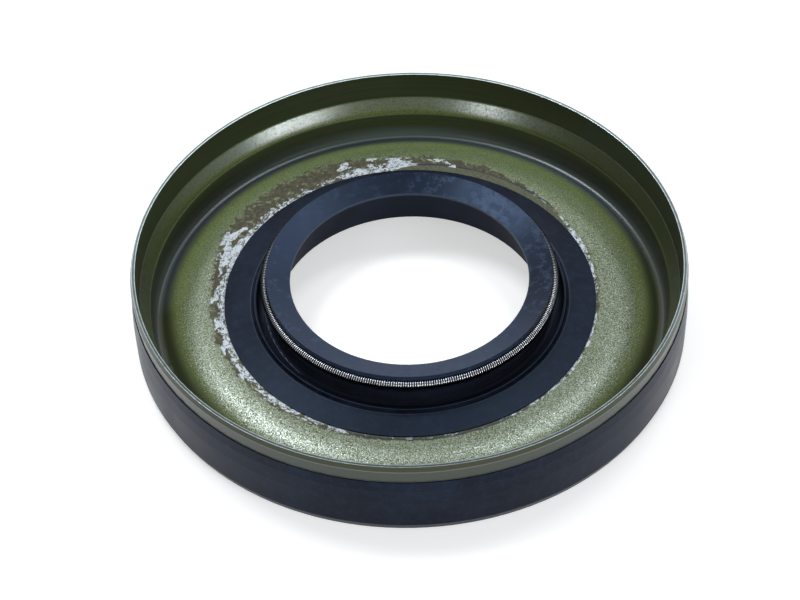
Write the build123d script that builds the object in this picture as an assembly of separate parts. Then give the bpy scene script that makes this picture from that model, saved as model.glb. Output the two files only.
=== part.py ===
from build123d import *

import os
from math import hypot, radians, tan

# A spring-loaded radial shaft seal: a stepped, pressed steel case whose lower
# half is covered with moulded rubber, a rubber sealing lip hung from the case's
# flange by a thin membrane, and a garter spring that hugs the lip.
# The origin is on the shaft's axis, at the flat heel that the seal stands on.
# All sizes are in millimetres, and heights run up from the heel.

# The three sizes that name the seal
shaft_diameter = 35.0
housing_bore = 80.0
seal_width = 13.0

# Press fit of the rubber cover in its housing, and of the free lip on its shaft
cover_press = 0.1
lip_interference = 0.28

# Shares of the room between shaft and housing that the heel and the flat ring take up
heel_share = 0.267
lap_share = 0.166

# Steel case: a rim that flares out, a shoulder that steps in, a wall and a domed flange
sheet = 0.8
rim_line_offset = 0.03
wall_taper = 5.6
shoulder_depth = 4.26
shoulder_height = 2.12
shoulder_step = 1.42
shoulder_round = 0.5
wall_round = 1.7
corner_height = 1.95
flange_rise = 2.93
rim_chamfer_width = 0.3
rim_chamfer_height = 0.88

# Where the flange turns down between the flat ring and the corner, and the shares of its slope that are rounded
bend_place = 0.498
bend_share = 0.5
corner_share = 0.17

# Rubber cover on the outside of the case
bare_rim = 3.05
cover_ledge = 0.15
cover_lead_in = 1.65
cover_band = 2.5
cover_relief = 0.2
heel_chamfer_width = 0.45
heel_chamfer_height = 1.1
heel_draft = 0.4
heel_round = 0.3
back_layer = 1.05
back_round = 4.0

# Flat ring of rubber that laps the inner part of the flange
lap_slope = 7.3
lap_film = 0.15
flange_grip = 1.1

# Raised bead between the flat ring and the trough round the lip
notch_width = 0.25
notch_depth = 0.08
bead_flank = 0.3
bead_height = 0.4
bead_width = 0.3

# Trough and the thin membrane that lets the lip move
trough_width = 2.05
trough_depth = 0.3
trough_round = 0.8
membrane = 1.25
relief_width = 3.4
relief_flank = 0.6
relief_round = 0.35

# Sealing lip, whose contact edge lies below the rim
contact_depth = 3.58
contact_band = 0.2
lip_face_width = 3.44
lip_face_angle = 17.8
air_side_angle = 18.2
sleeve_height = 2.63
sleeve_wall = 1.1
lip_undercut = 0.45

# Garter spring and its groove
spring_coil = 1.4
spring_overhang = 0.22
spring_offset = 0.36
groove_clearance = 0.05
groove_skirt = 0.15

# Outer sizes worked out from those above
cover_radius = housing_bore / 2 + cover_press
lip_radius = shaft_diameter / 2 - lip_interference
lip_to_housing = cover_radius - lip_radius
taper = tan(radians(wall_taper))

# Radii from the lip outwards to the edge of the flat ring
lip_rim_radius = lip_radius + lip_face_width
trough_inner = lip_rim_radius - lip_undercut
trough_outer = trough_inner + trough_width
bead_top = trough_outer + bead_width
notch_radius = bead_top + bead_flank
lap_inner = notch_radius + notch_width
lap_width = lap_share * lip_to_housing
lap_outer = lap_inner + lap_width

# Corners of the case's inner surface, from the rim down to its central hole
rim_inner = cover_radius + rim_line_offset - sheet
shoulder_top = seal_width - shoulder_depth
shoulder_bottom = shoulder_top - shoulder_height
shoulder_outer = rim_inner - shoulder_depth * taper
shoulder_inner = shoulder_outer - shoulder_step
corner_radius = shoulder_inner - (shoulder_bottom - corner_height) * taper
bend_radius = lap_outer + bend_place * (corner_radius - lap_outer)
flat_height = corner_height + flange_rise
hole_radius = lap_inner + flange_grip

# Slope of the flange, and the rounding that takes the given shares of its length
slope_width = corner_radius - bend_radius
slope_length = hypot(slope_width, flange_rise)
dish = flange_rise / slope_width
bend_round = bend_share * slope_length * flange_rise / (slope_length - slope_width)
corner_round = corner_share * slope_length

# Outside of the case at its rim and at the cover's top
rim_outer = rim_inner + sheet
beyond_rim = rim_outer + sheet
cover_top = seal_width - bare_rim
bare_radius = rim_outer - bare_rim * taper

# Heights of the rubber on both sides of the flange
lap_outer_height = flat_height + lap_film
lap_inner_height = lap_outer_height + lap_width * tan(radians(lap_slope))
bead_height_top = lap_inner_height + bead_height
trough_height = flat_height - trough_depth
relief_height = trough_height - membrane
back_height = flat_height - sheet - back_layer
back_drop = (sheet + back_layer) * hypot(1, dish)
back_flat_radius = corner_radius - (back_height + back_drop - corner_height) / dish

# Heel that the seal stands on
heel_outer = cover_radius - cover_relief - heel_chamfer_width
heel_inner = cover_radius - heel_share * lip_to_housing
heel_root = heel_inner - heel_draft
heel_root_height = corner_height + (corner_radius - heel_root) * dish - back_drop

# Lip, from its contact edge down to the end of its sleeve
contact_height = seal_width - contact_depth
lip_rim_height = contact_height + lip_face_width * tan(radians(lip_face_angle))
sleeve_slope = tan(radians(air_side_angle))
sleeve_inner = lip_radius + (contact_height - contact_band - sleeve_height) * sleeve_slope
sleeve_outer = sleeve_inner + sleeve_wall
relief_outer = sleeve_outer + relief_width

# Ring that the garter spring's centre line follows
spring_radius = lip_rim_radius + spring_overhang
spring_height = contact_height - spring_offset
lip_waist_height = spring_height - spring_coil / 2 - groove_clearance - groove_skirt


def section(corners):
    """Closed outline of (radius, height, rounding) corners, rounded where the rounding isn't zero."""
    outline = make_face(Polyline(*[(radius, height) for radius, height, _ in corners], close=True))
    for radius, height, rounding in corners:
        if rounding:
            outline = fillet(outline.vertices().sort_by_distance((radius, height))[0], rounding)
    return outline


def turned(outline):
    """Solid of revolution of an outline drawn as radius against height."""
    return revolve(Plane.XZ * outline, Axis.Z)


def case_inside():
    """Hollow of the case, bounded below by the top of its flange."""
    return section([
        (rim_inner, seal_width, 0),
        (shoulder_outer, shoulder_top, shoulder_round),
        (shoulder_inner, shoulder_bottom, wall_round),
        (corner_radius, corner_height, corner_round),
        (bend_radius, flat_height, bend_round),
        (hole_radius, flat_height, 0),
        (hole_radius, seal_width, 0),
    ])


def case_outside():
    """That hollow grown by the thickness of the sheet."""
    return offset(case_inside(), amount=sheet, kind=Kind.INTERSECTION)


def case_section():
    """Pressed sheet of even thickness, trimmed at rim and hole, with its cut edge chamfered."""
    trim = section([
        (hole_radius, 0, 0),
        (beyond_rim, 0, 0),
        (beyond_rim, seal_width, 0),
        (hole_radius, seal_width, 0),
    ])
    chamfer = section([
        (rim_outer - rim_chamfer_width, seal_width, 0),
        (beyond_rim, seal_width, 0),
        (beyond_rim, seal_width - rim_chamfer_height, 0),
        (rim_outer - rim_chamfer_height * taper, seal_width - rim_chamfer_height, 0),
    ])
    return ((case_outside() - case_inside()) & trim) - chamfer


def cover_section():
    """Rubber round the case: press-fit wall, lead-in chamfers, flat heel and the layer behind the flange."""
    outside = section([
        (hole_radius, cover_top, 0),
        (bare_radius + cover_ledge, cover_top, 0),
        (cover_radius, cover_top - cover_lead_in, 0),
        (cover_radius, cover_top - cover_lead_in - cover_band, 0),
        (cover_radius - cover_relief, heel_chamfer_height, 0),
        (heel_outer, 0, 0),
        (heel_inner, 0, heel_round),
        (heel_root, heel_root_height, heel_round),
        (back_flat_radius, back_height, back_round),
        (hole_radius, back_height, 0),
    ])
    return outside - case_outside()


def lip_section():
    """Sealing lip, the membrane that carries it, the bead and the flat ring on the flange."""
    lip = section([
        (lip_radius, contact_height, 0),
        (lip_rim_radius, lip_rim_height, 0),
        (lip_rim_radius, lip_waist_height, 0),
        (trough_inner, trough_height, trough_round),
        (trough_outer, trough_height, trough_round),
        (trough_outer, bead_height_top, 0),
        (bead_top, bead_height_top, 0),
        (notch_radius, lap_inner_height - notch_depth, 0),
        (lap_inner, lap_inner_height, 0),
        (lap_outer, lap_outer_height, 0),
        (lap_outer, back_height, 0),
        (relief_outer, back_height, 0),
        (relief_outer - relief_flank, relief_height, relief_round),
        (sleeve_outer + relief_flank, relief_height, relief_round),
        (sleeve_outer, sleeve_height, 0),
        (sleeve_inner, sleeve_height, 0),
        (lip_radius, contact_height - contact_band, 0),
    ])
    groove = Pos(spring_radius + groove_clearance, spring_height) * Circle(spring_coil / 2 + groove_clearance)
    return lip - groove - case_section()


def make_case():
    """Steel case, pressed from one sheet."""
    return turned(case_section())


def make_rubber():
    """Rubber body, moulded onto the case in one piece."""
    return turned(cover_section() + lip_section())


def make_spring():
    """Garter spring as a plain ring of the coil's outside diameter, seated in the lip's groove."""
    return Pos(0, 0, spring_height) * Torus(spring_radius, spring_coil / 2)


os.makedirs("parts", exist_ok=True)
export_step(make_case(), "parts/steel_case.step")
export_step(make_rubber(), "parts/rubber_body.step")
export_step(make_spring(), "parts/garter_spring.step")
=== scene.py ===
"""A radial shaft seal on a pale floor.

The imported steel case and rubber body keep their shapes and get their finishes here. A wound garter
spring takes the place of the plain ring that the model carries.
"""
import math
from functools import reduce

import bpy
import numpy as np
from bpy.props import FloatProperty, FloatVectorProperty, IntProperty, PointerProperty
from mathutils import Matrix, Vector


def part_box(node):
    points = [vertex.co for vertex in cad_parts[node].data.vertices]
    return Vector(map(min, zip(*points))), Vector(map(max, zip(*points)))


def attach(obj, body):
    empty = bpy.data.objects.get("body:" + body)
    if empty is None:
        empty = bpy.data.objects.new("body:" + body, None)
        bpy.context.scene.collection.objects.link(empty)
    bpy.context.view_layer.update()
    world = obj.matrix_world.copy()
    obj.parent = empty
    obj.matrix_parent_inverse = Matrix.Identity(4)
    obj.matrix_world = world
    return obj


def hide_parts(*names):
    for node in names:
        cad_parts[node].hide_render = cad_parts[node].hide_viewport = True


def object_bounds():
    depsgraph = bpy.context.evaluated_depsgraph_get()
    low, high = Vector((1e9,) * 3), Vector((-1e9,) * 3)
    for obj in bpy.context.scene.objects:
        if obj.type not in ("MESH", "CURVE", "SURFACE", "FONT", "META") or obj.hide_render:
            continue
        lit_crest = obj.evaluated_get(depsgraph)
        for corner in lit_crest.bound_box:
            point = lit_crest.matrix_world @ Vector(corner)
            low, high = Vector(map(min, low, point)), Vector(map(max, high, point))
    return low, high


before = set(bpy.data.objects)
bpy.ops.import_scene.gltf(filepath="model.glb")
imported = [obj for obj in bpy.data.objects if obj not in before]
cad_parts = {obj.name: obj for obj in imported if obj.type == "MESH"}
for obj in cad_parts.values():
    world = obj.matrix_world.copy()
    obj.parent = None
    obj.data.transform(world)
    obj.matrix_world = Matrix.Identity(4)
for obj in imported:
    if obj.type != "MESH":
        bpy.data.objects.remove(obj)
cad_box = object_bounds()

bl_info = {
    "name": "Radial Shaft Seal",
    "version": (1, 0, 0),
    "blender": (4, 5, 0),
    "location": "View3D > Sidebar > Shaft Seal",
    "description": "Finishes a packed shaft seal and winds its garter spring",
    "category": "Object",
}

MM = 0.001
TURN = 2 * math.pi

# Garter spring, in metres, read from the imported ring
spring_low, spring_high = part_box("garter_spring")
coil_outside = spring_high.z - spring_low.z
ring_radius = spring_high.x - coil_outside / 2
ring_height = (spring_high.z + spring_low.z) / 2

# Steel case and rubber body, in millimetres: radii, heights, and edges as (radius, height)
rim_height = cad_box[1].z / MM
rim_inner, rim_outer = 39.33, 39.83
chamfer_foot = 12.12
cover_line = 9.99
shoulder_top = (38.91, 8.74)
shoulder_foot = (37.49, 6.62)
corner_line = (36.65, 2.70)
lap_edge = 26.91
lip_edge = 17.22
contact_top = 9.42
BEAD_EDGES = [(22.56, 5.92), (23.11, 5.52)]

# Zones of the case, in millimetres: where each begins to show, and where it shows in full
shoulder_above, shoulder_below = (6.35, 6.85), (8.95, 8.65)
upper_shoulder = (7.1, 7.9)
film_above, film_below = (7.0, 7.35), (8.75, 8.5)
flange_below, flange_within = (5.5, 5.1), (34.9, 32.5)
flange_reach_at_back = 1.6
slope_beyond = (31.5, 34.8)
wall_foot_below = (5.0, 3.0)
corner_within = (36.62, 36.4)
outside_beyond = (39.5, 39.6)

# Zones of the rubber body, in the same way
lip_within, lip_above = (21.0, 20.6), (9.3, 9.5)
bore_within, bore_below = (20.0, 19.8), (9.2, 9.0)
trough_beyond, trough_within, trough_below = (19.9, 20.1), (22.3, 22.1), (7.5, 7.2)
lap_beyond, lap_within = (23.2, 23.4), (27.0, 26.8)
contact_within, contact_above = (lip_edge + 0.12, lip_edge + 0.06), (contact_top - 0.35, contact_top - 0.2)
ring_mark_pitch = 0.42

# Bright part of the coil, as angles round its centre line in radians, where 0 faces out and a quarter turn faces up;
# painted shade darkens the rest
bright_from, bright_to = (0.3, 0.8), (2.3, 1.8)

# Curves over the turn, as (turn, value): turn 0 and 1 are the left, 0.25 the front, 0.5 the right and 0.75 the back
TOWARDS_BACK = [(0.0, 0.45), (0.25, 0.0), (0.5, 0.45), (0.75, 1.0), (1.0, 0.45)]
# Painted shade on the walls over the turn: darker at the left and the right
WALL_SHADE = [
    (0.0, 1.0), (0.12, 0.7), (0.25, 0.0), (0.38, 0.8), (0.5, 1.0), (0.64, 0.6), (0.75, 0.0), (0.88, 0.3), (1.0, 1.0)]
# Where the shoulder catches the lamps, over the turn: its film and grit go there, and elsewhere painted shade darkens
# it
SHOULDER_LIT = [
    (0.0, 0.0), (0.25, 0.0), (0.5, 0.0), (0.58, 0.05), (0.66, 0.38), (0.71, 0.9), (0.84, 1.0), (0.88, 0.8),
    (0.94, 0.35), (1.0, 0.0)]
# Where the shoulder's highlights fall, over the turn: a painted sheen tints the primer there
SHOULDER_PAINTED_SHEEN = [
    (0.0, 0.0), (0.6, 0.0), (0.66, 0.7), (0.70, 1.0), (0.74, 0.3), (0.78, 0.3), (0.82, 1.0), (0.87, 0.9),
    (0.92, 0.2), (1.0, 0.0)]
# Share over the turn of the bright line at the shoulder's foot, partly wear and partly painted highlight
FOOT_WEAR_AND_HIGHLIGHT = [(0.0, 1.0), (0.2, 0.5), (0.5, 0.1), (0.72, 0.2), (0.80, 0.9), (1.0, 1.0)]
CRACK_SHARE = [
    (0.0, 0.0), (0.17, 0.0), (0.21, 0.9), (0.30, 0.9), (0.36, 0.3), (0.42, 0.0), (0.60, 0.0), (0.63, 1.0),
    (0.68, 0.6), (0.70, 1.0), (0.75, 1.0), (0.78, 0.0), (1.0, 0.0)]
FLAKE_RING_SHARE = [
    (0.0, 0.75), (0.08, 0.75), (0.13, 0.75), (0.185, 0.75), (0.20, 0.1), (0.33, 0.2), (0.38, 0.70),
    (0.46, 0.70), (0.50, 0.30), (0.55, 0.70), (0.62, 0.65), (0.67, 0.2), (0.73, 0.0), (0.745, 0.55),
    (0.80, 0.55), (0.82, 0.25), (0.85, 0.75), (1.0, 0.75)]
LOOSE_FLAKE_SHARE = [
    (0.0, 0.62), (0.04, 0.60), (0.08, 0.50), (0.13, 0.45), (0.18, 0.25), (0.22, 0.0), (0.50, 0.0),
    (0.535, 0.45), (0.57, 0.35), (0.62, 0.35), (0.66, 0.0), (0.70, 0.1), (0.715, 0.9), (0.735, 0.2),
    (0.75, 0.95), (0.80, 0.95), (0.81, 0.05), (0.87, 0.15), (0.91, 0.50), (0.935, 0.95), (0.965, 0.55),
    (1.0, 0.62)]
# Lip scuffs over the turn, raised where the lip catches the lamps as painted highlight
LIP_SCUFFS_AND_HIGHLIGHT = [
    (0.0, 0.6), (0.25, 1.0), (0.5, 0.5), (0.60, 1.0), (0.68, 1.0), (0.76, 0.2), (0.9, 0.7), (1.0, 0.5)]
# Bluish bloom on the lip over the turn, strongest where the lip catches the lamps as painted highlight
LIP_BLOOM_AND_HIGHLIGHT = [
    (0.0, 0.6), (0.1, 0.6), (0.25, 0.9), (0.4, 0.5), (0.5, 0.1), (0.56, 0.2), (0.61, 1.0), (0.67, 0.9),
    (0.72, 0.1), (0.82, 0.1), (0.9, 0.8), (1.0, 0.6)]
# Painted shade on the wire over the turn: dark at the left, the right and the back
SPRING_PAINTED_SHADE = [
    (0.0, 0.8), (0.04, 0.7), (0.1, 0.2), (0.4, 0.0), (0.5, 0.6), (0.55, 0.85), (0.95, 0.85), (1.0, 0.8)]

# Widths beside the rubber, as shares of the widest, which is in millimetres, and curves of the same kind
residue_widest, tan_widest, flake_ring_widest = 8.0, 2.0, 3.6
RESIDUE_WIDTH = [
    (0.0, 0.27), (0.083, 0.20), (0.167, 0.13), (0.25, 0.08), (0.333, 0.05), (0.417, 0.05), (0.5, 0.07),
    (0.528, 0.09), (0.556, 0.10), (0.611, 0.14), (0.667, 0.30), (0.708, 0.36), (0.75, 0.37), (0.778, 0.44),
    (0.819, 0.52), (0.861, 0.53), (0.903, 0.51), (0.931, 0.45), (0.958, 0.33), (1.0, 0.27)]
TAN_WIDTH = [
    (0.0, 0.02), (0.08, 0.08), (0.16, 0.12), (0.25, 0.12), (0.34, 0.10), (0.40, 0.04), (0.55, 0.08),
    (0.60, 0.35), (0.64, 0.60), (0.70, 0.65), (0.745, 0.50), (0.78, 0.05), (1.0, 0.02)]
FLAKE_RING_WIDTH = [
    (0.0, 0.24), (0.08, 0.28), (0.15, 0.24), (0.25, 0.10), (0.40, 0.12), (0.5, 0.10), (0.58, 0.24),
    (0.64, 0.24), (0.7, 0.2), (0.77, 0.50), (0.81, 0.34), (0.85, 0.26), (1.0, 0.24)]

# Camera that matches the photograph: place in metres, turn in degrees and focal length in millimetres
camera_place = (0.0, -0.383856, 0.399208)
camera_turn = (44.2086, 1.3425, -1.1613)
camera_lens = 170.957

# Softboxes: name, compass angle from +X, angle above the floor, width and height in metres, share of the power
SOFTBOXES = [
    ("back_left_softbox", 131, 62, 0.24, 0.22, 0.95),
    ("back_right_softbox", 56, 64, 0.20, 0.22, 0.50),
    ("front_right_panel", -45, 20, 0.34, 0.12, 0.85),
    ("front_left_panel", -123, 22, 0.16, 0.12, 0.38),
]
softbox_distance = 0.75

# Floor's reach from the middle in metres, its share of reflected light, and the light it adds where it is seen
floor_reach = 4.0
floor_albedo = 0.8
floor_glow = 0.5

# Even light: its strength, and how it grows behind the seal between two shares of the way to straight back
sky_strength, sky_strength_behind = 0.33, 1.6
sky_grows_from, sky_grows_to = 0.45, 0.95


def linear(*levels):
    """Scene colour of a screen colour whose red, green and blue levels run from 0 to 255."""
    shares = [level / 255 for level in levels]
    return tuple(s / 12.92 if s <= 0.04045 else ((s + 0.055) / 1.055) ** 2.4 for s in shares)


def shade(tone, *factors):
    """That colour made so many times as bright, with one factor for all three channels or one for each."""
    return [channel * factor for channel, factor in zip(tone, factors if len(factors) == 3 else factors * 3)]


def colour(name, description, levels):
    return FloatVectorProperty(
        name=name, description=description, subtype="COLOR", size=3, min=0, max=1, default=linear(*levels))


class CaseFinish(bpy.types.PropertyGroup):
    """Colours and grain of the primed steel case."""

    primer: colour("Primer", "Olive-green primer on the flange", (110, 124, 74))
    drawn: colour("Drawn primer", "Primer smoothed and darkened by the press tool on the walls", (47, 53, 32))
    deep: colour("Deep primer", "Thicker primer on the flange's slope and, darker, on the shoulder", (108, 119, 68))
    corner: colour("Corner", "Greyer primer at the foot of the wall", (78, 86, 80))
    # Blue-grey primer in the corner, towards the back
    corner_at_back: colour("Pooled primer", "Primer pooled in the corner", (60, 70, 80))
    # Painted sheen: a cool tint where the shoulder's highlights fall
    film_and_painted_sheen: colour("Film", "Cool film on the polished parts of the shoulder", (104, 116, 128))
    residue: colour("Residue", "Thin bonding residue round the rubber", (88, 84, 66))
    tan: colour("Tan edge", "Dry primer right beside the rubber", (98, 101, 80))
    crack: colour("Crack", "Dark crack and film outside the tan edge", (52, 57, 64))
    flake: colour("Flake", "Pale flakes of cured bonding agent", (206, 214, 222))
    grit: colour("Grit", "Dull grey specks in the grain", (134, 142, 138))
    glint: colour("Glint", "Bright specks in the grain", (200, 208, 204))
    # Also used for the bright edge lines, which are partly wear and partly painted highlight
    bare_steel: colour("Bare steel", "Worn edges and the cut rim", (140, 150, 152))
    outside: colour("Outside", "Thin primer on the bare outside of the rim", (60, 65, 56))
    chamfer: colour("Chamfer", "Stained primer on the rim's chamfer", (56, 59, 38))
    grain: FloatProperty(
        name="Grain", description="Height of the grain in the primer, in millimetres", default=0.02, min=0, max=0.1)


class RubberFinish(bpy.types.PropertyGroup):
    """Colours of the moulded rubber."""

    rubber: colour("Rubber", "Moulded rubber", (9, 13, 25))
    # Also painted as a bluish sheen on the lip where it catches the lamps
    scuff_and_sheen: colour("Scuff", "Dry scuffs on the rubber", (54, 67, 90))
    # Painted light: a lighter grey in the deep trough round the lip
    trough: colour("Trough", "Grey film in the trough round the lip", (48, 50, 60))
    # Painted highlight along the bead's edges
    bead_highlight: colour("Bead edges", "Rubbed edges of the bead", (78, 84, 96))
    # Partly wear and partly painted highlight along the contact edge
    contact: colour("Contact edge", "Polished edge that touches the shaft", (58, 64, 78))
    roughness: FloatProperty(
        name="Roughness", description="Roughness of the rubber where it isn't scuffed",
        default=0.3, min=0, max=1, subtype="FACTOR")


class SpringSizes(bpy.types.PropertyGroup):
    """Sizes and colours of the garter spring."""

    turns: IntProperty(name="Turns", description="Turns of wire round the whole ring", default=396, min=40, max=600)
    wire: FloatProperty(
        name="Wire", description="Diameter of the wire", default=0.3 * MM, min=0.05 * MM, unit="LENGTH", precision=5)
    coil: FloatProperty(
        name="Coil", description="Outside diameter of the coil", default=coil_outside, unit="LENGTH", precision=5)
    metal: colour("Wire colour", "Drawn steel wire", (240, 242, 250))
    # Painted shade on the wire, between the turns, below, and at the sides and back of the ring
    painted_shade_wire: colour("Oily wire", "Wire under a film of oil", (60, 62, 68))


class StageLook(bpy.types.PropertyGroup):
    """Floor and light."""

    floor: colour("Floor", "Pale floor under the seal", (250, 250, 250))
    lamp: colour("Lamp", "Colour of the softboxes", (246, 252, 255))
    power: FloatProperty(
        name="Power", description="Power of the strongest softbox", default=2.5, min=0, unit="POWER")
    fill: FloatProperty(
        name="Fill", description="Strength of the even light from all round", default=1.0, min=0, max=2)


class Finish:
    """One material's node tree, with a short call for each kind of node that the finishes use."""

    def __init__(self, name):
        self.material = bpy.data.materials.new(name)
        self.material.use_nodes = True
        self.tree = self.material.node_tree
        self.tree.nodes.clear()
        place = self.add("ShaderNodeTexCoord").outputs["Object"]
        self.place = self.add("ShaderNodeVectorMath", "MULTIPLY", place, (1 / MM,) * 3).outputs[0]
        across = self.add("ShaderNodeVectorMath", "MULTIPLY", self.place, (1, 1, 0)).outputs[0]
        self.radius = self.add("ShaderNodeVectorMath", "LENGTH", across).outputs["Value"]
        axes = self.add("ShaderNodeSeparateXYZ", None, self.place).outputs
        self.height = axes["Z"]
        angle = self.math("ARCTAN2", axes["Y"], axes["X"])
        self.turn = self.math("MULTIPLY_ADD", angle, 1 / TURN, 0.5)
        spoke = self.add("ShaderNodeVectorMath", "NORMALIZE", across).outputs[0]
        outward = self.add("ShaderNodeCombineXYZ", None, 0.0, 0.0, self.radius).outputs[0]
        self.unrolled = self.add("ShaderNodeVectorMath", "MULTIPLY_ADD", spoke, (15, 15, 0), outward).outputs[0]

    def add(self, kind, operation=None, *inputs):
        """A new node whose first inputs are linked, or set to plain values."""
        node = self.tree.nodes.new(kind)
        if operation:
            node.operation = operation
        for socket, value in zip(node.inputs, inputs):
            self.put(socket, value)
        return node

    def put(self, socket, value):
        if isinstance(value, bpy.types.NodeSocket):
            self.tree.links.new(value, socket)
        else:
            socket.default_value = value

    def math(self, operation, *values):
        return self.add("ShaderNodeMath", operation, *values).outputs[0]

    def less(self, value, taken):
        return self.math("SUBTRACT", value, taken)

    def off(self, value, middle):
        """How far a value is from the middle, on either side."""
        return self.math("ABSOLUTE", self.less(value, middle))

    def both(self, *masks):
        """Where all of the masks hold."""
        return reduce(lambda one, other: self.math("MULTIPLY", one, other), masks)

    def either(self, *masks):
        """Where any of the masks holds."""
        return reduce(lambda one, other: self.math("MAXIMUM", one, other), masks)

    def fade(self, value, start, end, low=0.0, high=1.0):
        """Smooth change from low to high while the value goes from start to end."""
        node = self.add("ShaderNodeMapRange", None, value, start, end, low, high)
        node.interpolation_type = "SMOOTHSTEP"
        return node.outputs[0]

    def level(self, share, first, second):
        """Number that goes from the first to the second as the share goes from 0 to 1."""
        return self.add("ShaderNodeMapRange", None, share, 0.0, 1.0, first, second).outputs[0]

    def mix(self, share, first, second):
        """Colour that goes from the first to the second as the share goes from 0 to 1."""
        node = self.add("ShaderNodeMix")
        node.data_type = "RGBA"
        self.put(node.inputs["Factor"], share)
        for name, value in (("A", first), ("B", second)):
            socket = next(s for s in node.inputs if s.name == name and s.type == "RGBA")
            self.put(socket, value if isinstance(value, bpy.types.NodeSocket) else (*value, 1))
        return next(s for s in node.outputs if s.type == "RGBA")

    def noise(self, scale, detail, roughness, stretch=(1, 1, 1), distortion=0.0, along=False):
        """Noise with so many features to the millimetre, drawn out along the ring if along is set."""
        start = self.unrolled if along else self.place
        place = self.add("ShaderNodeVectorMath", "MULTIPLY", start, stretch).outputs[0]
        node = self.add("ShaderNodeTexNoise")
        for name, value in (
                ("Vector", place), ("Scale", scale), ("Detail", detail), ("Roughness", roughness),
                ("Distortion", distortion)):
            self.put(node.inputs[name], value)
        return node.outputs[0]

    def line(self, radius, height, half_width):
        """Narrow line round the seal at this radius and height."""
        away = self.add(
            "ShaderNodeCombineXYZ", None, self.less(self.radius, radius), self.less(self.height, height), 0.0)
        distance = self.add("ShaderNodeVectorMath", "LENGTH", away.outputs[0]).outputs["Value"]
        return self.fade(distance, half_width, half_width / 3)

    def round_the_ring(self, points, full=1.0):
        """Values over the turn, times the number that a value of 1 stands for."""
        node = self.add("ShaderNodeFloatCurve")
        self.put(node.inputs["Value"], self.turn)
        curve = node.mapping.curves[0]
        for point, (turn, value) in zip((curve.points[0], curve.points[-1]), (points[0], points[-1])):
            point.location = (turn, value)
        for turn, value in points[1:-1]:
            curve.points.new(turn, value)
        node.mapping.update()
        share = node.outputs[0]
        return share if full == 1 else self.math("MULTIPLY", share, full)

    def bump(self, height, distance, edge=0.0):
        """Normal of a relief that is the given distance high, in millimetres, on edges rounded by edge."""
        node = self.add("ShaderNodeBump")
        self.put(node.inputs["Height"], height)
        self.put(node.inputs["Distance"], distance * MM)
        if edge:
            rounded = self.add("ShaderNodeBevel")
            rounded.samples = 6
            self.put(rounded.inputs["Radius"], edge * MM)
            self.put(node.inputs["Normal"], rounded.outputs[0])
        return node.outputs[0]

    def surface(self, **inputs):
        """Material with a principled surface, whose inputs are named in lower case with underscores for spaces."""
        shader = self.add("ShaderNodeBsdfPrincipled")
        for name, value in inputs.items():
            self.put(shader.inputs[name.replace("_", " ").title().replace("Ior", "IOR")], value)
        output = self.add("ShaderNodeOutputMaterial")
        self.tree.links.new(shader.outputs[0], output.inputs["Surface"])
        return self.material


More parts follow.
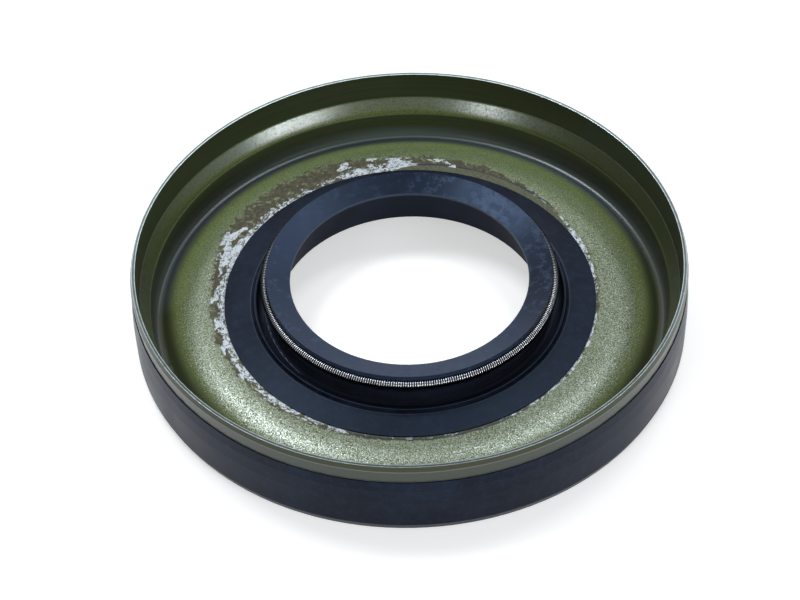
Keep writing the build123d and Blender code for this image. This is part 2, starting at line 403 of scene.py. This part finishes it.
class PrimedSteel(Finish):
    """Olive primer, grainy on the flange and shoulder, with bare edges and bonding residue beside the rubber."""

    def __init__(self, look):
        super().__init__("primed_steel")
        self.look = look
        self.coarse = self.noise(5.2, 2, 0.8)
        self.ragged = self.noise(0.9, 9, 0.72)
        self.nicks = self.noise(0.8, 6, 0.75)
        self.towards_back = self.round_the_ring(TOWARDS_BACK)
        self.shoulder_lit = self.round_the_ring(SHOULDER_LIT)
        self.shoulder = self.both(self.fade(self.height, *shoulder_above), self.fade(self.height, *shoulder_below))
        drawn_in = self.math("MULTIPLY_ADD", self.towards_back, -flange_reach_at_back, self.radius)
        self.flange = self.both(self.fade(self.height, *flange_below), self.fade(drawn_in, *flange_within))
        self.grainy = self.either(self.shoulder, self.flange)
        self.sloped = self.fade(self.radius, *slope_beyond)
        self.outside = self.fade(self.radius, *outside_beyond)
        self.beside = self.less(self.radius, lap_edge)
        self.residue_width = self.round_the_ring(RESIDUE_WIDTH, residue_widest)
        self.shake = self.both(self.less(self.ragged, 0.5), self.math("MULTIPLY_ADD", self.residue_width, 1.6, 1.2))
        self.tan_width = self.round_the_ring(TAN_WIDTH, tan_widest)
        self.past_tan = self.less(self.math("MULTIPLY_ADD", self.ragged, 0.5, self.beside), self.tan_width)

    def drawn_primer(self):
        """Smooth dark primer on the walls, with draw lines, a greyer foot, painted shade at the left and right, and a
        blue-grey tone in the corner at the back.
        """
        drawn, corner, corner_at_back = self.look.drawn, self.look.corner, self.look.corner_at_back
        lines = self.noise(1.0, 3, 0.6, stretch=(0.04, 0.04, 4.0))
        wall = self.mix(self.fade(lines, 0.35, 0.7, 0, 0.4), drawn, shade(drawn, 1.6))
        wall = self.mix(self.fade(self.height, *wall_foot_below), wall, corner)
        # Painted shade: the walls darken at the left and the right.
        wall = self.mix(self.round_the_ring(WALL_SHADE), wall, self.mix(0.5, wall, shade(drawn, 0.1)))
        at_back = self.fade(self.towards_back, 0.45, 0.95)
        return self.mix(self.fade(self.radius, *corner_within), wall, self.mix(at_back, drawn, corner_at_back))

    def pitted_primer(self):
        """Olive primer, darker on the shoulder, with dark pits; painted light makes the back of the flange lighter,
        and painted shade darkens the shoulder at its sides.
        """
        primer, deep = self.look.primer, self.look.deep
        tint = self.noise(0.05, 4, 0.6)
        olive = self.mix(self.fade(tint, 0.35, 0.65), primer, shade(primer, 0.86))
        olive = self.mix(self.sloped, olive, deep)
        # Painted light: the primer is made lighter towards the back of the flange.
        olive = self.mix(self.fade(self.towards_back, 0.5, 1.0, 0, 0.4), olive, shade(primer, 1.6))
        # Painted shade: the shoulder takes the dark wall colour at its sides, away from where it is lit.
        olive = self.mix(self.shoulder, olive, self.mix(self.shoulder_lit, self.look.drawn, shade(deep, 0.7, 0.72, 0.5)))
        pits = self.both(self.grainy, self.fade(self.coarse, 0.46, 0.39, 0, 0.85))
        return self.mix(pits, olive, shade(deep, 0.15))

    def grit(self):
        """Where dull specks lie: dense on the flange, and on the upper part of the shoulder only where it catches the
        lamps, which paints light there.
        """
        upper = self.fade(self.height, *upper_shoulder)
        on_flange = self.less(self.coarse, self.level(self.sloped, 0.50, 0.61))
        on_shoulder = self.less(self.noise(8.0, 2, 0.7), self.level(upper, 0.60, 0.49))
        return self.both(
            self.grainy, self.level(self.shoulder, 1.0, self.shoulder_lit),
            self.level(self.shoulder, self.fade(on_flange, 0.0, 0.08), self.fade(on_shoulder, 0.0, 0.12, 0, 0.6)))

    def glints(self):
        """Where bright specks lie on the flange."""
        return self.both(self.flange, self.fade(self.noise(5.5, 2, 0.8), 0.60, 0.66))

    def film_and_painted_sheen(self):
        """Clear patchy film along the middle of the shoulder where it is lit, which gives it its sheen and bounds the
        painted sheen colour.
        """
        return self.both(
            self.shoulder, self.fade(self.height, *film_above), self.fade(self.height, *film_below),
            self.fade(self.noise(3.2, 3, 0.8), 0.40, 0.54, 0.08, 0.50), self.shoulder_lit)

    def residue(self):
        """Where bonding residue lies: wide at the back and narrow in front, with gaps in it."""
        gaps = self.fade(self.noise(1.3, 6, 0.7), 0.40, 0.46, 0.25, 1.0)
        within = self.less(self.math("ADD", self.beside, self.shake), self.residue_width)
        return self.both(self.fade(within, 0.15, -0.15), gaps)

    def flakes(self):
        """Where pale flakes lie: a porous broken ring right beside the rubber, and loose patches further out."""
        pores = self.off(self.noise(1.4, 5, 0.65, distortion=0.6, along=True), 0.5)
        patches = self.noise(1.0, 5, 0.65, along=True)
        torn = self.noise(0.8, 4, 0.55, distortion=0.3, along=True)
        ring_share, loose_share = self.round_the_ring(FLAKE_RING_SHARE), self.round_the_ring(LOOSE_FLAKE_SHARE)
        ring_width = self.round_the_ring(FLAKE_RING_WIDTH, flake_ring_widest)
        ring = self.both(
            self.fade(self.less(patches, self.level(ring_share, 0.60, 0.36)), 0.0, 0.02),
            self.fade(pores, 0.026, 0.036),
            self.fade(self.math("MULTIPLY_ADD", self.shake, 0.5, self.less(self.beside, ring_width)), 0.1, -0.1))
        loose = self.both(
            self.fade(self.less(torn, self.level(loose_share, 0.70, 0.46)), 0.0, 0.02),
            self.fade(pores, 0.010, 0.020),
            self.fade(self.less(self.beside, self.residue_width), 0.1, -0.3))
        beyond_tan = self.either(self.fade(self.past_tan, 0.2, 0.35), self.fade(self.tan_width, 0.4, 0.3))
        return self.both(self.either(ring, loose), beyond_tan)

    def rim(self):
        """Steel of the cut rim: a dull face between two bright edges, with painted light that makes it brightest at
        the back.
        """
        steel = self.look.bare_steel
        off_middle = self.off(self.radius, (rim_inner + rim_outer) / 2)
        edges = self.fade(self.math("MULTIPLY_ADD", self.nicks, 0.2, off_middle), 0.20, 0.30)
        # Painted light: the face and the edges are made lighter towards the back.
        face = self.mix(self.towards_back, shade(steel, 0.22), shade(steel, 0.7))
        return self.mix(edges, face, self.mix(self.towards_back, steel, shade(steel, 2.9)))

    def edges_worn_and_highlit(self):
        """Bright bare-steel lines on the other edges, partly wear and partly painted highlight, and a smooth painted
        highlight line in the corner, stronger towards the back.
        """
        worn_and_highlit = self.either(
            self.line(*shoulder_top, 0.07), self.both(self.round_the_ring(FOOT_WEAR_AND_HIGHLIGHT), self.line(*shoulder_foot, 0.09)))
        worn_and_highlit = self.both(worn_and_highlit, self.fade(self.nicks, 0.40, 0.55, 0.15, 0.8))
        # Bright lines at the chamfer's foot and at the cover line outside: partly wear, partly painted highlight
        for height in (chamfer_foot, cover_line):
            near = self.fade(self.off(self.height, height), 0.12, 0.03, 0, 0.4)
            worn_and_highlit = self.either(worn_and_highlit, self.both(near, self.outside))
        # Painted highlight along the corner's fillet, stronger towards the back
        corner_highlight = self.both(self.line(*corner_line, 0.18), self.fade(self.towards_back, 0.45, 0.95, 0.06, 0.45))
        return self.either(worn_and_highlit, corner_highlight)

    def painted(self):
        """Material with all layers of the finish, from the primer up."""
        look = self.look
        grit, glints, film_and_painted_sheen = self.grit(), self.glints(), self.film_and_painted_sheen()
        # Painted highlight: the cool sheen colour where the shoulder's highlights fall.
        primer = self.mix(self.both(film_and_painted_sheen, self.round_the_ring(SHOULDER_PAINTED_SHEEN)), self.pitted_primer(), look.film_and_painted_sheen)
        primer = self.mix(grit, primer, look.grit)
        primer = self.mix(glints, primer, look.glint)
        base = self.mix(self.grainy, self.drawn_primer(), primer)
        on_chamfer = self.fade(self.height, chamfer_foot - 0.05, chamfer_foot + 0.05)
        base = self.mix(self.outside, base, self.mix(on_chamfer, look.outside, look.chamfer))

        stained, flaked = self.residue(), self.flakes()
        cracked = self.both(self.fade(self.past_tan, 0.70, 0.56), self.round_the_ring(CRACK_SHARE))
        dry = self.fade(self.past_tan, 0.37, 0.2)
        clotted = self.fade(self.noise(1.6, 7, 0.75), 0.38, 0.62)
        base = self.mix(stained, base, self.mix(clotted, look.residue, shade(look.residue, 0.5)))
        base = self.mix(cracked, base, look.crack)
        base = self.mix(dry, base, self.mix(self.fade(self.coarse, 0.35, 0.6), shade(look.tan, 0.5), look.tan))
        base = self.mix(flaked, base, look.flake)

        cut_face = self.fade(self.height, rim_height - 0.04, rim_height - 0.01)
        worn_and_highlit = self.edges_worn_and_highlit()
        base = self.mix(cut_face, base, self.rim())
        # Bare steel on the edges: partly wear, partly painted highlight
        base = self.mix(worn_and_highlit, base, look.bare_steel)

        covered = self.either(stained, flaked, dry)
        open_grain = self.both(self.grainy, self.less(1.0, covered))
        specks = self.both(self.either(grit, glints), open_grain)
        roughness = self.level(covered, self.level(self.shoulder, 0.29, 0.27), 0.7)
        bumpy = self.level(open_grain, 0.15, self.level(self.shoulder, 1.0, 0.2))
        relief = self.math("ADD", flaked, self.both(self.noise(6.0, 2, 0.7), bumpy))
        return self.surface(
            base_color=base, metallic=self.both(self.either(worn_and_highlit, cut_face, specks), 0.85), roughness=roughness,
            specular_ior_level=0.3, coat_weight=film_and_painted_sheen, coat_roughness=0.26, coat_ior=2.1,
            normal=self.bump(relief, look.grain, edge=0.08))


def moulded_rubber(look):
    """Blue-black rubber with dry scuffs on the lip, faint ring marks and a polished contact edge, with painted
    highlights on the lip, the contact edge and the bead's edges, and painted light in the trough.
    """
    finish = Finish("black_rubber")
    radius, height = finish.radius, finish.height
    lip = finish.both(finish.fade(radius, *lip_within), finish.fade(height, *lip_above))
    bore = finish.both(finish.fade(radius, *bore_within), finish.fade(height, *bore_below))
    trough = finish.both(
        finish.fade(radius, *trough_beyond), finish.fade(radius, *trough_within), finish.fade(height, *trough_below))
    lap = finish.both(finish.fade(radius, *lap_beyond), finish.fade(radius, *lap_within))
    contact = finish.both(finish.fade(radius, *contact_within), finish.fade(height, *contact_above))

    cloudy = finish.fade(finish.noise(0.12, 3, 0.5), 0.35, 0.7)
    # Scuffs on the lip, partly real and partly painted highlight where the lamps reflect
    scuffs_and_highlight = finish.both(
        finish.fade(finish.noise(0.7, 8, 0.75), 0.46, 0.64),
        finish.level(finish.both(lip, finish.round_the_ring(LIP_SCUFFS_AND_HIGHLIGHT)), 0.13, 1.2), finish.less(1.0, bore))
    # Painted highlight: bluish bloom where the lip catches the lamps
    bloom_and_highlight = finish.both(lip, finish.round_the_ring(LIP_BLOOM_AND_HIGHLIGHT), 0.7)
    base = finish.mix(finish.either(scuffs_and_highlight, bloom_and_highlight), look.rubber, look.scuff_and_sheen)
    base = finish.mix(finish.both(cloudy, 0.12), base, look.scuff_and_sheen)
    # Painted light: the trough is made lighter grey
    base = finish.mix(finish.both(trough, 0.35), base, look.trough)
    # Painted highlight: light lines along the bead's edges
    for place in BEAD_EDGES:
        base = finish.mix(finish.both(finish.line(*place, 0.09), 0.5), base, look.bead_highlight)
    # Contact edge: partly wear, partly painted highlight
    base = finish.mix(contact, base, look.contact)

    rings = finish.math("SINE", finish.math("MULTIPLY", radius, TURN / ring_mark_pitch))
    relief = finish.math("ADD", finish.both(rings, lap, 0.3), finish.noise(3.0, 4, 0.6))
    roughness = finish.math(
        "ADD", finish.level(scuffs_and_highlight, look.roughness, look.roughness + 0.25), finish.both(cloudy, 0.08))
    roughness = finish.level(bore, roughness, 0.75)
    roughness = finish.level(trough, roughness, 0.24)
    return finish.surface(
        base_color=base, roughness=roughness, specular_ior_level=0.15, specular_tint=(0.45, 0.65, 1.0, 1.0),
        normal=finish.bump(relief, 0.006, edge=0.07))


def spring_wire(sizes):
    """Drawn steel wire, bright along the crest of each turn, with painted shade between the turns, below, and at the
    sides and back of the ring.
    """
    finish = Finish("spring_steel")
    streak = finish.noise(2.0, 3, 0.6)
    metal = finish.mix(finish.fade(streak, 0.3, 0.7), sizes.metal, shade(sizes.metal, 0.8))
    # Painted shade at the sides and back of the ring
    metal = finish.mix(finish.round_the_ring(SPRING_PAINTED_SHADE), metal, sizes.painted_shade_wire)
    above = finish.less(finish.height, ring_height / MM)
    round_coil = finish.math("ARCTAN2", above, finish.less(finish.radius, ring_radius / MM))
    winding = finish.math("MULTIPLY", finish.turn, TURN * sizes.turns)
    crest = finish.math("COSINE", finish.less(winding, round_coil))
    # Painted shade: only the upper crest of each turn stays bright, the rest is darkened
    lit_crest = finish.both(
        finish.fade(crest, -0.1, 0.65), finish.fade(round_coil, *bright_from), finish.fade(round_coil, *bright_to))
    return finish.surface(
        base_color=finish.mix(lit_crest, shade(sizes.painted_shade_wire, 0.12), metal), metallic=1.0,
        roughness=finish.level(streak, 0.26, 0.34), normal=finish.bump(streak, 0.002))


def wound_ring(sizes, wire_steps=14, wire_sides=7):
    """Vertices and faces of a wire wound into a coil whose axis is closed to a ring."""
    steps = sizes.turns * wire_steps
    along = np.arange(steps) / steps * TURN
    winding = along * sizes.turns
    reach = (sizes.coil - sizes.wire) / 2
    outward = np.stack([np.cos(along), np.sin(along), np.zeros(steps)], axis=1)
    upward = np.array([0.0, 0.0, 1.0])
    spoke = np.cos(winding)[:, None] * outward + np.sin(winding)[:, None] * upward
    centre = ring_radius * outward + ring_height * upward + reach * spoke
    heading = np.roll(centre, -1, axis=0) - np.roll(centre, 1, axis=0)
    heading /= np.linalg.norm(heading, axis=1)[:, None]
    side = np.cross(heading, spoke)
    around = np.arange(wire_sides) / wire_sides * TURN
    verts = (
        centre[:, None, :]
        + sizes.wire / 2 * np.cos(around)[None, :, None] * spoke[:, None, :]
        + sizes.wire / 2 * np.sin(around)[None, :, None] * side[:, None, :])
    this = np.arange(steps)[:, None] * wire_sides + np.arange(wire_sides)[None, :]
    beside = np.roll(this, -1, axis=1)
    after = np.roll(this, -1, axis=0)
    faces = np.stack([this, beside, np.roll(beside, -1, axis=0), after], axis=2)
    return verts.reshape(-1, 3), faces.reshape(-1, 4)


def give(node_name, material):
    """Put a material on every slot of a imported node."""
    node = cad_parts[node_name]
    if not node.material_slots:
        node.data.materials.append(material)
    for place in node.material_slots:
        place.material = material


class SEAL_OT_finish_case(bpy.types.Operator):
    """Paint the steel case with primer and stain the zone beside the rubber"""

    bl_idname = "seal.finish_case"
    bl_label = "Finish Case"

    def execute(self, context):
        give("steel_case", PrimedSteel(context.scene.seal_case).painted())
        return {"FINISHED"}


class SEAL_OT_finish_rubber(bpy.types.Operator):
    """Give the rubber body its moulded, scuffed finish"""

    bl_idname = "seal.finish_rubber"
    bl_label = "Finish Rubber"

    def execute(self, context):
        give("rubber_body", moulded_rubber(context.scene.seal_rubber))
        return {"FINISHED"}


class SEAL_OT_wind_spring(bpy.types.Operator):
    """Wind the garter spring and set it in the place of the plain ring"""

    bl_idname = "seal.wind_spring"
    bl_label = "Wind Spring"

    def execute(self, context):
        sizes = context.scene.seal_spring
        verts, faces = wound_ring(sizes)
        mesh = bpy.data.meshes.new("wound_spring")
        mesh.from_pydata(verts.tolist(), [], faces.tolist())
        mesh.shade_smooth()
        mesh.materials.append(spring_wire(sizes))
        spring = bpy.data.objects.new("wound_spring", mesh)
        context.scene.collection.objects.link(spring)
        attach(spring, "root")
        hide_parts("garter_spring")
        return {"FINISHED"}


class SEAL_OT_set_stage(bpy.types.Operator):
    """Lay the floor, hang the softboxes and place the camera"""

    bl_idname = "seal.set_stage"
    bl_label = "Set Stage"

    def execute(self, context):
        look = context.scene.seal_stage
        self.lay_floor(context, look)
        self.hang_softboxes(context, look)
        self.light_evenly(context, look)
        self.place_camera(context)
        context.scene.view_settings.view_transform = "Standard"
        return {"FINISHED"}

    def lay_floor(self, context, look):
        corners = [(x * floor_reach, y * floor_reach, 0) for x, y in ((-1, -1), (1, -1), (1, 1), (-1, 1))]
        mesh = bpy.data.meshes.new("floor")
        mesh.from_pydata(corners, [], [(0, 1, 2, 3)])
        finish = Finish("pale_floor")
        rays = finish.add("ShaderNodeLightPath").outputs
        seen = finish.either(rays["Is Camera Ray"], rays["Is Glossy Ray"], rays["Is Transmission Ray"])
        mesh.materials.append(finish.surface(
            base_color=(*shade(look.floor, floor_albedo), 1), roughness=0.9, specular_ior_level=0.1,
            emission_color=(1, 1, 1, 1), emission_strength=finish.both(seen, floor_glow)))
        floor = bpy.data.objects.new("floor", mesh)
        context.scene.collection.objects.link(floor)

    def hang_softboxes(self, context, look):
        for name, compass, above, width, height, share in SOFTBOXES:
            lamp = bpy.data.lights.new(name, "AREA")
            lamp.shape = "RECTANGLE"
            lamp.size = width
            lamp.size_y = height
            lamp.energy = look.power * share
            lamp.color = look.lamp
            turned, raised = math.radians(compass), math.radians(above)
            towards = Vector((
                math.cos(turned) * math.cos(raised), math.sin(turned) * math.cos(raised), math.sin(raised)))
            softbox = bpy.data.objects.new(name, lamp)
            softbox.location = towards * softbox_distance
            softbox.rotation_euler = towards.to_track_quat("Z", "Y").to_euler()
            context.scene.collection.objects.link(softbox)

    def light_evenly(self, context, look):
        world = bpy.data.worlds.new("studio")
        world.use_nodes = True
        nodes, links = world.node_tree.nodes, world.node_tree.links
        axes = nodes.new("ShaderNodeSeparateXYZ")
        behind = nodes.new("ShaderNodeMapRange")
        behind.interpolation_type = "SMOOTHSTEP"
        for name, value in (
                ("From Min", sky_grows_from), ("From Max", sky_grows_to),
                ("To Min", sky_strength), ("To Max", sky_strength_behind)):
            behind.inputs[name].default_value = value
        strength = nodes.new("ShaderNodeMath")
        strength.operation = "MULTIPLY"
        strength.inputs[1].default_value = look.fill
        links.new(nodes.new("ShaderNodeTexCoord").outputs["Generated"], axes.inputs[0])
        links.new(axes.outputs["Y"], behind.inputs["Value"])
        links.new(behind.outputs[0], strength.inputs[0])
        links.new(strength.outputs[0], nodes["Background"].inputs["Strength"])
        nodes["Background"].inputs["Color"].default_value = (1, 1, 1, 1)
        context.scene.world = world

    def place_camera(self, context):
        lens = bpy.data.cameras.new("camera")
        lens.lens = camera_lens
        camera = bpy.data.objects.new("camera", lens)
        camera.location = camera_place
        camera.rotation_euler = [math.radians(angle) for angle in camera_turn]
        context.scene.collection.objects.link(camera)
        context.scene.camera = camera


class SEAL_PT_pieces(bpy.types.Panel):
    """Pieces of the seal, with the sizes and colours that can be changed"""

    bl_label = "Shaft Seal"
    bl_space_type = "VIEW_3D"
    bl_region_type = "UI"
    bl_category = "Shaft Seal"

    def draw(self, context):
        for group, step in (
                ("seal_case", "finish_case"), ("seal_rubber", "finish_rubber"),
                ("seal_spring", "wind_spring"), ("seal_stage", "set_stage")):
            box = self.layout.box()
            settings = getattr(context.scene, group)
            for name in settings.__annotations__:
                box.prop(settings, name)
            box.operator(f"seal.{step}")


CLASSES = (
    CaseFinish, RubberFinish, SpringSizes, StageLook, SEAL_OT_finish_case, SEAL_OT_finish_rubber,
    SEAL_OT_wind_spring, SEAL_OT_set_stage, SEAL_PT_pieces)
SETTINGS = {"seal_case": CaseFinish, "seal_rubber": RubberFinish, "seal_spring": SpringSizes, "seal_stage": StageLook}


def register():
    for cls in CLASSES:
        bpy.utils.register_class(cls)
    for name, group in SETTINGS.items():
        setattr(bpy.types.Scene, name, PointerProperty(type=group))


def unregister():
    for name in SETTINGS:
        delattr(bpy.types.Scene, name)
    for cls in reversed(CLASSES):
        bpy.utils.unregister_class(cls)


def main():
    register()
    bpy.ops.seal.finish_case()
    bpy.ops.seal.finish_rubber()
    bpy.ops.seal.wind_spring()
    bpy.ops.seal.set_stage()


if __name__ == "__main__":
    main()
